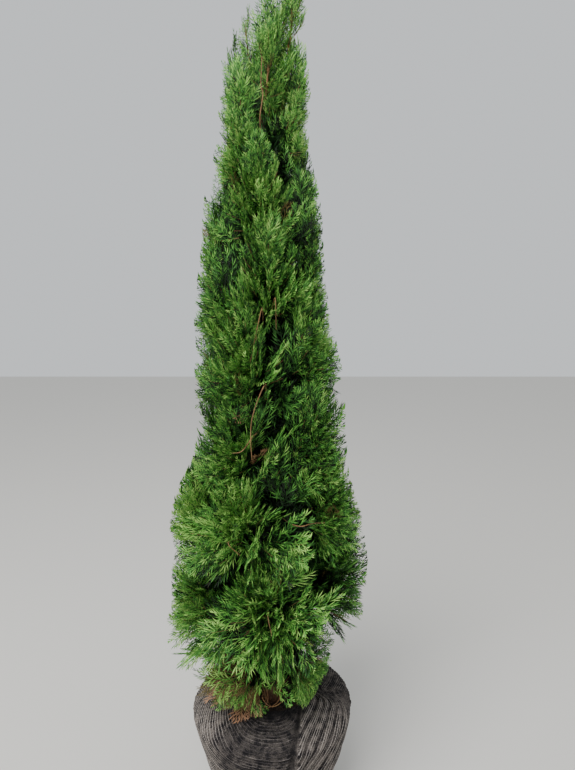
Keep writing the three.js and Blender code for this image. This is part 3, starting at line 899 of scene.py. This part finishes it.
shoot = {"foot": 0.0014, "tip": 0.0006, "sides": 6, "steps": 4, "sag": 0.008, "bend": 0.6}
bareShoots = [  # height on the trunk where each starts, then its points
    (1.38, [(-0.0142, -0.083, 1.420), (-0.0087, -0.083, 1.458), (-0.0121, -0.081, 1.474),
            (-0.0105, -0.074, 1.523)]),
    (0.90, [(-0.005, -0.140, 0.957), (-0.018, -0.152, 0.931), (-0.029, -0.156, 0.895),
            (-0.031, -0.158, 0.859), (-0.029, -0.158, 0.823)]),
    (0.88, [(-0.029, -0.148, 0.862), (-0.047, -0.155, 0.839), (-0.065, -0.150, 0.834)]),
    (1.02, [(-0.011, -0.122, 1.090), (-0.022, -0.129, 1.043), (-0.032, -0.132, 0.996)]),
    (1.04, [(0.012, -0.120, 1.108), (0.014, -0.126, 1.052)]),
    (0.68, [(0.056, -0.160, 0.701), (0.078, -0.150, 0.702), (0.103, -0.135, 0.698)]),
    (0.64, [(-0.073, -0.166, 0.673), (-0.051, -0.176, 0.653)]),
    (0.52, [(-0.001, -0.192, 0.545), (0.006, -0.194, 0.508)]),
    (0.30, [(-0.010, -0.090, 0.340), (-0.005, -0.104, 0.314), (-0.018, -0.086, 0.276)]),
    (0.29, [(0.020, -0.080, 0.345), (0.017, -0.099, 0.310), (-0.010, -0.090, 0.282)]),
    (0.31, [(-0.016, -0.110, 0.323), (0.003, -0.106, 0.300), (0.031, -0.100, 0.312)]),
]
dryScraps = [  # dry sprays over the rim: root, end
    ((-0.052, -0.055, 0.288), (-0.066, -0.106, 0.268)), ((-0.060, -0.060, 0.286), (-0.058, -0.110, 0.268)),
    ((-0.056, -0.060, 0.284), (-0.074, -0.092, 0.269)), ((-0.036, -0.058, 0.286), (-0.040, -0.098, 0.269)),
    ((-0.034, -0.056, 0.288), (-0.032, -0.102, 0.268)),
]


def bareTwigs():
    made = []
    for height, points in bareShoots:
        foot = trunkLine(height)
        middle = foot.lerp(Vector(points[0]), shoot["bend"]) - zAxis * shoot["sag"]
        line = smoothLine([foot, middle] + points, shoot["steps"])
        radii = [mix(shoot["foot"], shoot["tip"], i / (len(line) - 1)) for i in range(len(line))]
        made.append(tubeArrays(line, radii, shoot["sides"]))
    return made


def scrapFronds(draw):
    made = []
    for root, end in dryScraps:
        root, end = Vector(root), Vector(end)
        heading = (end - root).normalized()
        level = turnAbout(heading.cross(zAxis).normalized(), heading, 0.8 * (draw() - 0.5))
        kind = int(draw() * frondValues["kinds"])
        made.append((kind, root, heading, level, (end - root).length, 0.2, deadTone))
    return made


twigTubes = bareTwigs()
scrapOwner = min(masses, key=lambda mass: (mass["seed"] - Vector(dryScraps[0][0])).length)
behind = frondsBehindClefts()
leafCount = 0
for index, mass in enumerate(masses):
    sprays = spraysOf(mass, index, mass["sprays"], mass["draw"], 0, crown["margin"])
    more = randomStream(5000 + index)
    high = mass["seed"].z > crown["high"]
    crossing = crown["highCrossing" if high else "crossing"]
    sprays += spraysOf(mass, index, crown["extra"][mass["name"]], more, crown["extraShift"], crossing)
    if high and not mass["isTip"]:
        sprays += backSprays(more, mass["seed"].z)
    fronds = behind.get(index, [])
    for root, way, across, length in sprays:
        growSpray(mass, root, way, across, length, more, fronds, twigTubes)
    if mass["seed"].z <= crown["shadeTop"]:
        growShade(mass, more, fronds)
    if mass is scrapOwner:
        fronds += scrapFronds(more)
    piece = leafPiece(mass["node"].replace("foliage", "leaves"), fronds, mass["isTip"])
    bodyPiece(piece, [mass["node"]])
    leafCount += len(piece.data.polygons)
    steps = [bendPoint(mass["stem"], i / 7) for i in range(8)]
    radii = [mix(stemRadius["foot"], stemRadius["tip"], i / 7) for i in range(8)]
    twigTubes.append(tubeArrays(steps, radii, 5))
bodyPiece(twigPiece("fine_twigs", twigTubes, twigBark))
print("foliage grown:", leafCount, "triangles, and", len(twigTubes), "twigs")


# A finished bmesh as a smooth piece with one material
def smoothPiece(name, bm, material):
    mesh = bpy.data.meshes.new(name)
    bm.to_mesh(mesh)
    bm.free()
    mesh.materials.append(material)
    for face in mesh.polygons:
        face.use_smooth = True
    return newObject(name, mesh)


# Trunk, leader and boughs, with the strips of their bark in the mesh
wood = {
    "trunk": {"steps": 130, "sides": 24, "relief": 0.0009},
    "leader": {"steps": 40, "sides": 14, "relief": 0.0005},
    "bough": {"steps": 10, "sides": 12, "relief": 0.0004},
    "boughClimb": 0.026, "boughSag": 0.004, "boughFoot": 0.0022, "stripScale": 420, "stripLength": 10,
    "knotScale": 60,
}


def ringEdges(ring):
    return [edge for edge in {e for v in ring for e in v.link_edges} if all(v in ring for v in edge.verts)]


def barkLimb(bm, path, radiusAt, values):
    loops = []
    last = len(path) - 1
    across, along = wood["stripScale"], wood["stripScale"] / wood["stripLength"]
    for i, spot in enumerate(path):
        tangent = (path[min(i + 1, last)] - path[max(i - 1, 0)]).normalized()
        if i == 0 and tangent.z > 0.9:
            tangent = zAxis.copy()  # an upright foot is cut level
        place = Matrix.Translation(spot) @ zAxis.rotation_difference(tangent).to_matrix().to_4x4()
        radius = radiusAt(i / last)
        made = bmesh.ops.create_circle(bm, segments=values["sides"], radius=radius, matrix=place)
        for vert in made["verts"]:
            out = (vert.co - spot).normalized()
            strip = noise.noise(Vector((vert.co.x * across, vert.co.y * across, vert.co.z * along)))
            knot = noise.noise(vert.co * wood["knotScale"])
            vert.co += out * (values["relief"] * strip + 0.5 * values["relief"] * knot)
        loops.append(made["verts"])
    for low, high in zip(loops, loops[1:]):
        bmesh.ops.bridge_loops(bm, edges=ringEdges(low) + ringEdges(high))
    for loop in (loops[0], loops[-1]):
        bmesh.ops.contextual_create(bm, geom=loop)


def woodPiece():
    bm = bmesh.new()
    steps = wood["trunk"]["steps"]
    path = [trunkLine(mix(soilTop, trunk["top"], i / steps)) for i in range(steps + 1)]
    barkLimb(bm, path, lambda along: trunkRadius(mix(soilTop, trunk["top"], along)), wood["trunk"])
    steps = wood["leader"]["steps"]
    path = [bendPoint(leaderCurve(), i / steps) for i in range(steps + 1)]
    barkLimb(bm, path, lambda along: mix(leader["foot"], leader["tip"], along), wood["leader"])
    names = ["trunk", "leader"]
    steps = wood["bough"]["steps"]
    tip = stemRadius["foot"]
    foot = tip + wood["boughFoot"]
    for mass in masses:
        if not mass["onBough"]:
            continue
        end = mass["stem"][0]
        start = trunkLine(end.z - wood["boughClimb"])
        bend = start.lerp(end, 0.5) - Vector((0, 0, wood["boughSag"]))
        path = [bendPoint((start, bend, end), i / steps) for i in range(steps + 1)]
        barkLimb(bm, path, lambda along: mix(foot, tip, along), wood["bough"])
        names.append(mass["node"].replace("foliage", "bough"))
    bmesh.ops.recalc_face_normals(bm, faces=bm.faces)
    return bodyPiece(smoothPiece("trunk_and_boughs", bm, trunkBark), names)


woodPiece()
print("trunk and boughs made")

# The cloth bag: a spun profile with rows of ribs that hang in loops from the front of the neck.
# Right of the front the rows are steep pleats, which lie over the loops.
bag = {
    "floorRadius": 0.092, "bellyRadius": 0.168, "bellyHeight": 0.232, "rimRadius": 0.080,
    "rimHeight": 0.266, "cloth": 0.004, "sideRows": 145, "shoulderRows": 60, "around": 400,
    "floorRows": (0, 0.4, 0.75), "insideFrom": 0.2, "insideStep": 6, "rimSteps": 6, "lumps": 0.003,
    "ribPitch": 0.0074, "ribDepth": 0.0017, "foldPitch": 0.031, "foldDepth": 0.006, "seamHeight": 0.0018,
    "loopPower": 2.4, "loopDrop": 0.02, "borderStart": 0.066, "borderSlope": 0.17, "pleatSlope": 0.72,
    "pleatCloser": 1.3, "pleatEnd": (1.15, 1.5), "flank": (0.5, 0.95), "leftLight": (0.62, 1.07),
    "creaseShade": 0.55, "leastLight": 0.05, "insideLight": 0.3,
}


def cubic(a, b, c, d, t):
    start = Vector(a) * (1 - t) ** 3 + Vector(b) * 3 * t * (1 - t) ** 2
    return start + Vector(c) * 3 * t * t * (1 - t) + Vector(d) * t ** 3


def bagOutline():
    belly = (bag["bellyRadius"], bag["bellyHeight"])
    rise = bag["rimHeight"] - bag["bellyHeight"]
    points = []
    for i in range(bag["sideRows"] + 1):
        points.append(cubic(
            (bag["floorRadius"], 0), (bag["floorRadius"] + 0.03, 0.2 * bag["bellyHeight"]),
            (bag["bellyRadius"], 0.92 * bag["bellyHeight"]), belly, i / bag["sideRows"],
        ))
    for i in range(1, bag["shoulderRows"] + 1):
        points.append(cubic(
            belly, (bag["bellyRadius"], bag["bellyHeight"] + 0.6 * rise),
            (bag["bellyRadius"] - 0.036, bag["rimHeight"] - 0.003),
            (bag["rimRadius"], bag["rimHeight"]), i / bag["shoulderRows"],
        ))
    return points


bagPoints = bagOutline()


def bagRadiusAt(height):
    return float(np.interp(height, [p.y for p in bagPoints], [p.x for p in bagPoints]))


# A flat front and a fuller shoulder at the back right
def bagSwell(azimuth):
    flatFront = bump(azimuth, front, 0.5)
    fullBack = bump(azimuth, 0.2 * math.pi, 0.55)
    return 1 - 0.05 * flatFront + 0.03 * fullBack + 0.008 * math.cos(5 * azimuth + 0.6)


def turnFrom(azimuth, middle):
    return (azimuth - middle + math.pi) % (2 * math.pi) - math.pi


# The run of a spot is its distance from the neck's front or back, measured so that a row is a loop.
# Steep is how far a spot lies past the border of the pleats.
def rowPlace(azimuth, radius, down):
    turned = turnFrom(azimuth, front)
    atFront = abs(turned) < math.pi / 2
    if not atFront:
        turned = turnFrom(azimuth, front - math.pi)
    across = abs(turned) * radius
    drop = down + bag["loopDrop"]
    power = bag["loopPower"]
    run = (across ** power + drop ** power) ** (1 / power)
    fromFront = radius * math.sin(turned)
    steep = fromFront + bag["borderSlope"] * down - bag["borderStart"] if atFront else -1
    pleated = smoothShare(steep, -0.003, 0.004) * (1 - smoothShare(turned, *bag["pleatEnd"]))
    leaning = bag["pleatCloser"] * (fromFront + bag["pleatSlope"] * down - bag["borderStart"])
    return mix(run, leaning, pleated), math.atan2(across, drop) * 0.12, turned, pleated, steep


def wave(value, pitch):
    return 0.5 + 0.5 * math.cos(2 * math.pi * value / pitch)


# Height over the smooth cloth, lumps, painted light and shade, and the place in the rows
def clothRelief(azimuth, radius, down, spot):
    run, along, turned, pleated, steep = rowPlace(azimuth, radius, down)
    run += 0.0030 * noise.noise(spot * 18) + 0.0012 * noise.noise(spot * 60)
    row = math.floor(run / bag["ribPitch"] + 0.5)
    strength = 0.8 + 0.8 * noise.noise(Vector((row * 7.3, along * 16, 3.1)))
    flank = smoothShare(abs(turned), *bag["flank"])
    pleat = abs(math.sin(math.pi * (run + 0.008 * noise.noise(spot * 12)) / bag["foldPitch"])) ** 0.7
    crease = bump(steep, -0.004, 0.005)
    rib = bag["ribDepth"] * (1 - 0.5 * pleated) * wave(run, bag["ribPitch"]) ** 3 * max(strength, 0.1)
    fold = pleated + 0.25 * flank * (1 - pleated)
    height = rib + bag["foldDepth"] * fold * pleat
    height += bag["foldDepth"] * (0.9 * bump(steep, 0.010, 0.010) - 0.5 * crease)
    leftSide = abs(turnFrom(azimuth, math.pi))
    seam = bump(leftSide, 0, 0.012) + bump(leftSide, math.pi, 0.012)
    height += bag["seamHeight"] * seam
    # Painted light and shade: pleat ridges lighter and their hollows darker, the flanks and the left side
    # lighter, the seam a darker line
    light = 0.32 + 0.4 * strength + 0.8 * pleated * (pleat - 0.15) + 0.12 * flank
    light += 0.75 * (1 - smoothShare(leftSide, *bag["leftLight"])) - 0.25 * seam
    # Painted shadow at the front under the neck, and painted shade in the crease
    neckShadow = mix(1, smoothShare(down, 0.004, 0.034), 0.8 * bump(turned, 0, 0.7) * (steep < 0))
    light *= (1 - bag["creaseShade"] * crease) * neckShadow
    lump = bag["lumps"] * noise.noise(spot * 9)
    return height * smoothShare(down, 0, 0.02), lump, max(light, bag["leastLight"]), (along, run)


# Rows from the middle of the floor, up the outside, round the rim and down inside: spot in radius
# and height, outward direction, distance down from the rim, and how much skin relief it has
def bagRows():
    outs = []
    for i in range(len(bagPoints)):
        tangent = (bagPoints[min(i + 1, len(bagPoints) - 1)] - bagPoints[max(i - 1, 0)]).normalized()
        outs.append(Vector((tangent.y, -tangent.x)))
    runs = [0.0]
    for a, b in zip(bagPoints, bagPoints[1:]):
        runs.append(runs[-1] + (b - a).length)
    downs = [runs[-1] - run for run in runs]
    rows = []
    for share in bag["floorRows"]:
        rows.append((Vector((bag["floorRadius"] * share, 0)), Vector((0, -1)), downs[0], 0))
    rows += [(p, out, down, 1) for p, out, down in zip(bagPoints, outs, downs)]
    rim, rimOut = bagPoints[-1], outs[-1]
    rimAlong = Vector((-rimOut.y, rimOut.x))
    for i in range(1, bag["rimSteps"]):
        angle = math.pi * i / bag["rimSteps"]
        spot = rim + (rimOut * (math.cos(angle) - 1) + rimAlong * math.sin(angle)) * bag["cloth"] / 2
        rows.append((spot, rimOut, 0, 0.5))
    inside = []
    for p, out, down in zip(bagPoints, outs, downs):
        if p.y > bag["insideFrom"]:
            inside.append((p - out * bag["cloth"], out, down, 0.5))
    rows += inside[::-bag["insideStep"]]
    return rows + [(Vector((0, inside[0][0].y)), Vector((0, 1)), downs[0], 0)]


def spinRound(bm, verts, steps):
    edges = [bm.edges.new(pair) for pair in zip(verts, verts[1:])]
    bmesh.ops.spin(
        bm, geom=verts + edges, axis=(0, 0, 1), cent=(0, 0, 0), angle=2 * math.pi,
        steps=steps, use_merge=True,
    )
    bmesh.ops.remove_doubles(bm, verts=bm.verts, dist=1e-5)
    bmesh.ops.recalc_face_normals(bm, faces=bm.faces)


def clothBag():
    bm = bmesh.new()
    downLayer = bm.verts.layers.float.new("down")
    skinLayer = bm.verts.layers.float.new("skin")
    outLayer = bm.verts.layers.float_vector.new("out")
    verts = []
    for spot, out, down, skin in bagRows():
        vert = bm.verts.new((0, -spot.x, spot.y))
        vert[downLayer], vert[skinLayer], vert[outLayer] = down, skin, (out.x, 0, out.y)
        verts.append(vert)
    spinRound(bm, verts, bag["around"])
    shades, places = [], []
    for vert in bm.verts:
        radius = math.hypot(vert.co.x, vert.co.y)
        azimuth = math.atan2(vert.co.y, vert.co.x) % (2 * math.pi)
        height, lump, light, place = clothRelief(azimuth, max(radius, 0.02), vert[downLayer], vert.co)
        skin = vert[skinLayer]
        # The inside of the bag is a flat painted shade
        shades.append(light if skin == 1 else bag["insideLight"])
        places.append(place)
        lifted = (height if skin == 1 else 0) + (lump if skin else 0)
        lifted *= smoothShare(vert.co.z, 0, 0.02)
        out = vert[outLayer]
        turn = (vert.co.x / radius, vert.co.y / radius) if radius > 1e-4 else (0, 0)
        swell = bagSwell(azimuth)
        vert.co.x = vert.co.x * swell + turn[0] * out.x * lifted
        vert.co.y = vert.co.y * swell + turn[1] * out.x * lifted
        vert.co.z += out.z * lifted
    for layer in (downLayer, skinLayer):
        bm.verts.layers.float.remove(layer)
    bm.verts.layers.float_vector.remove(outLayer)
    piece = smoothPiece("cloth_bag", bm, clothMaterial())
    mesh = piece.data
    mesh.attributes.new("shade", "FLOAT", "POINT").data.foreach_set("value", shades)
    uvLayer = mesh.uv_layers.new(name="rows")
    corners = np.empty(len(mesh.loops), dtype=np.int32)
    mesh.loops.foreach_get("vertex_index", corners)
    uvLayer.data.foreach_set("uv", np.array(places, dtype=np.float32)[corners].ravel())
    return bodyPiece(piece, ["root_bag"])


clothBag()
print("cloth bag made")

# Soil in the neck of the bag, with crumbs
soil = {
    "depth": 0.034, "rings": 46, "around": 150, "crumb": 0.0045, "wallGap": 0.002, "calmEdge": 0.05,
    "crumbScale": 45, "fineScale": 140,
}


def soilPlug():
    bm = bmesh.new()
    edge = bagRadiusAt(soilTop) - bag["cloth"] - soil["wallGap"]
    profile = [(0.0, soilTop - soil["depth"]), (edge, soilTop - soil["depth"])]
    for i in range(soil["rings"] + 1):
        profile.append((edge * (1 - i / soil["rings"]), soilTop))
    spinRound(bm, [bm.verts.new((0, -r, z)) for r, z in profile], soil["around"])
    for vert in bm.verts:
        azimuth = math.atan2(vert.co.y, vert.co.x) % (2 * math.pi)
        if vert.co.z > soilTop - 0.001:
            fine = noise.noise(vert.co * soil["fineScale"])
            lumpy = noise.noise(vert.co * soil["crumbScale"]) + 0.6 * fine
            inner = smoothShare(edge - math.hypot(vert.co.x, vert.co.y), 0, soil["calmEdge"])
            vert.co.z += soil["crumb"] * lumpy * inner
        swell = bagSwell(azimuth)
        vert.co.x *= swell
        vert.co.y *= swell
    return bodyPiece(smoothPiece("soil_top", bm, soilMaterial()), ["soil"])


soilPlug()
print("soil made")

# Floor, light and camera
stageValues = {
    "floorSize": 14, "floorColour": "d9d6d0", "skyColour": "e9edf0", "skyStrength": 0.9,
    "keyPlace": (-1.0, -1.9, 3.4), "keyAim": (0, 0, 0.8), "keySize": 2.2, "keyPower": 150,
}


def makeStage():
    bm = bmesh.new()
    bmesh.ops.create_grid(bm, x_segments=1, y_segments=1, size=stageValues["floorSize"] / 2)
    mesh = bpy.data.meshes.new("floor")
    bm.to_mesh(mesh)
    bm.free()
    mesh.materials.append(plainMaterial("pale_floor", stageValues["floorColour"], 0.9))
    newObject("floor", mesh)
    world = bpy.data.worlds.new("pale_sky")
    world.use_nodes = True
    sky = world.node_tree.nodes["Background"]
    sky.inputs["Color"].default_value = rgb(stageValues["skyColour"])
    sky.inputs["Strength"].default_value = stageValues["skyStrength"]
    bpy.context.scene.world = world
    light = bpy.data.lights.new("soft_key", "AREA")
    light.shape = "DISK"
    light.size = stageValues["keySize"]
    light.energy = stageValues["keyPower"]
    lamp = newObject("soft_key", light)
    lamp.location = stageValues["keyPlace"]
    toPlant = Vector(stageValues["keyAim"]) - lamp.location
    lamp.rotation_euler = toPlant.to_track_quat("-Z", "Y").to_euler()


cameraValues = {"place": (0.034, -1.15, 1.108), "tiltDown": 8.58, "focal": 577, "height": 770}


def makeCamera():
    data = bpy.data.cameras.new("camera")
    data.sensor_width = 36
    data.lens = cameraValues["focal"] * data.sensor_width / cameraValues["height"]
    camera = newObject("camera", data)
    camera.location = cameraValues["place"]
    camera.rotation_euler = (math.radians(90 - cameraValues["tiltDown"]), 0, 0)
    bpy.context.scene.camera = camera


makeStage()
makeCamera()
print("floor, light and camera set")
